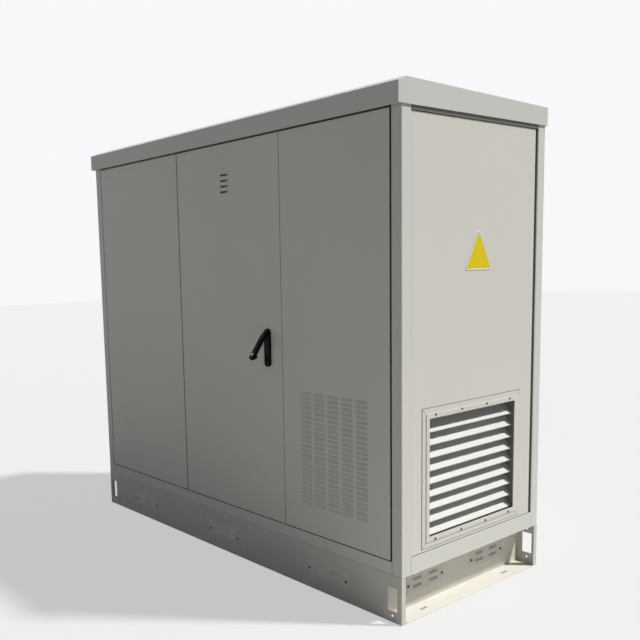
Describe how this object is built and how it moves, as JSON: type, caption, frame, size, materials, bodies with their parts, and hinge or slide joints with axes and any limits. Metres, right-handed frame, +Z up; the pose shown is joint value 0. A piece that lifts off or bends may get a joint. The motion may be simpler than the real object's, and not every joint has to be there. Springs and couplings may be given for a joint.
{
  "type": "roadside utility cabinet",
  "caption": "Free-standing sheet metal roadside cabinet with hinged front doors, a swing handle lock, a louvred end window, an overhanging roof and a ventilated plinth.",
  "frame": {"origin": "centre of the footprint, on the ground, where the foot of the plinth's cross beam stands", "axes": "+X to the right along the front, the doors face -Y, +Z up"},
  "size_m": [2.412, 1.1187, 2.187],
  "materials": {
    "cabinet_paint": "light warm grey powder coat, fine texture, satin",
    "door_paint": "light warm grey powder coat, fine texture, satin",
    "galvanised_steel": "zinc coated",
    "screw_steel": "stainless",
    "seal_rubber": "foam rubber",
    "black_plastic": "grained, matt",
    "lock_chrome": "plated",
    "filter_fleece": "fleece",
    "earth_brass": "plain"
  },
  "bodies": {
    "cabinet": {"plinth_front_panel": "cabinet_paint", "plinth_rear_panel": "cabinet_paint", "plinth_left_end": "cabinet_paint", "plinth_right_end": "cabinet_paint", "plinth_cross_beam": "galvanised_steel", "plinth_vent_plates": "cabinet_paint", "plinth_screws": "screw_steel", "vent_meshes": "galvanised_steel", "base_frame": "cabinet_paint", "left_floor_plate": "galvanised_steel", "centre_floor_plate": "galvanised_steel", "right_floor_plate": "galvanised_steel", "front_left_post": "cabinet_paint", "front_right_post": "cabinet_paint", "rear_left_post": "cabinet_paint", "rear_right_post": "cabinet_paint", "left_mullion": "cabinet_paint", "right_mullion": "cabinet_paint", "rear_mullion": "cabinet_paint", "top_frame": "cabinet_paint", "roof": "cabinet_paint", "left_end_panel": "cabinet_paint", "right_end_panel": "cabinet_paint", "left_rear_panel": "cabinet_paint", "right_rear_panel": "cabinet_paint", "louvre_cover_frame": "cabinet_paint", "louvre_insert": "cabinet_paint", "louvre_blades": "cabinet_paint", "louvre_screws": "screw_steel", "filter_tray": "galvanised_steel", "filter_mat": "filter_fleece", "equipment_rails": "galvanised_steel", "earth_bar": "earth_brass", "earth_bar_standoffs": "black_plastic", "hinge_brackets": "galvanised_steel", "hinge_pins": "screw_steel", "door_keeps": "galvanised_steel"},
    "left_leaf": {"left_door": "door_paint", "left_door_seal": "seal_rubber", "left_hinge_plates": "galvanised_steel"},
    "left_top_bolt": {"left_top_bolt": "screw_steel"},
    "left_bottom_bolt": {"left_bottom_bolt": "screw_steel"},
    "centre_leaf": {"centre_door": "door_paint", "centre_door_seal": "seal_rubber", "centre_hinge_plates": "galvanised_steel", "vent_baffle": "galvanised_steel", "handle_plate": "black_plastic", "rod_guides": "black_plastic"},
    "handle_turner": {"handle_spindle": "screw_steel", "latch_cam": "galvanised_steel", "lever_pin": "screw_steel"},
    "handle_lever": {"handle_lever": "black_plastic"},
    "lock_cylinder": {"lock_cylinder": "lock_chrome"},
    "top_rod": {"top_rod": "galvanised_steel"},
    "bottom_rod": {"bottom_rod": "galvanised_steel"},
    "right_leaf": {"right_door": "door_paint", "right_door_seal": "seal_rubber", "right_hinge_plates": "galvanised_steel"},
    "right_top_bolt": {"right_top_bolt": "screw_steel"},
    "right_bottom_bolt": {"right_bottom_bolt": "screw_steel"}
  },
  "joints": [
    {"name": "left_door_swing", "type": "hinge", "parent": "cabinet", "child": "left_leaf", "pos_m": [-1.128, -0.488, 1.1725], "axis": [0, 0, -1], "range_deg": [0, 110]},
    {"name": "centre_door_swing", "type": "hinge", "parent": "cabinet", "child": "centre_leaf", "pos_m": [-0.3095, -0.488, 1.1725], "axis": [0, 0, -1], "range_deg": [0, 110]},
    {"name": "right_door_swing", "type": "hinge", "parent": "cabinet", "child": "right_leaf", "pos_m": [1.128, -0.488, 1.1725], "axis": [0, 0, 1], "range_deg": [0, 110]},
    {"name": "left_top_bolt_slide", "type": "slide", "parent": "left_leaf", "child": "left_top_bolt", "axis": [0, 0, 1], "range_m": [-0.028, 0]},
    {"name": "left_bottom_bolt_slide", "type": "slide", "parent": "left_leaf", "child": "left_bottom_bolt", "axis": [0, 0, 1], "range_m": [0, 0.028]},
    {"name": "right_top_bolt_slide", "type": "slide", "parent": "right_leaf", "child": "right_top_bolt", "axis": [0, 0, 1], "range_m": [-0.028, 0]},
    {"name": "right_bottom_bolt_slide", "type": "slide", "parent": "right_leaf", "child": "right_bottom_bolt", "axis": [0, 0, 1], "range_m": [0, 0.028]},
    {"name": "handle_turn", "type": "hinge", "parent": "centre_leaf", "child": "handle_turner", "pos_m": [0.392, -0.5, 1.172], "axis": [0, 1, 0], "range_deg": [0, 90]},
    {"name": "lever_lift", "type": "hinge", "parent": "handle_turner", "child": "handle_lever", "pos_m": [0.392, -0.52, 1.172], "axis": [1, 0, 0], "range_deg": [0, 37]},
    {"name": "lock_turn", "type": "hinge", "parent": "handle_lever", "child": "lock_cylinder", "pos_m": [0.392, -0.57745, 1.06253], "axis": [0, -0.7986, 0.6018], "range_deg": [0, 90]},
    {"name": "top_rod_slide", "type": "slide", "parent": "centre_leaf", "child": "top_rod", "axis": [0, 0, 1], "range_m": [-0.0283, 0]},
    {"name": "bottom_rod_slide", "type": "slide", "parent": "centre_leaf", "child": "bottom_rod", "axis": [0, 0, 1], "range_m": [0, 0.0283]}
  ],
  "couplings": [
    {"joint": "top_rod_slide", "follows": "handle_turn", "m_per_rad": -0.018006},
    {"joint": "bottom_rod_slide", "follows": "handle_turn", "m_per_rad": 0.018006}
  ]
}
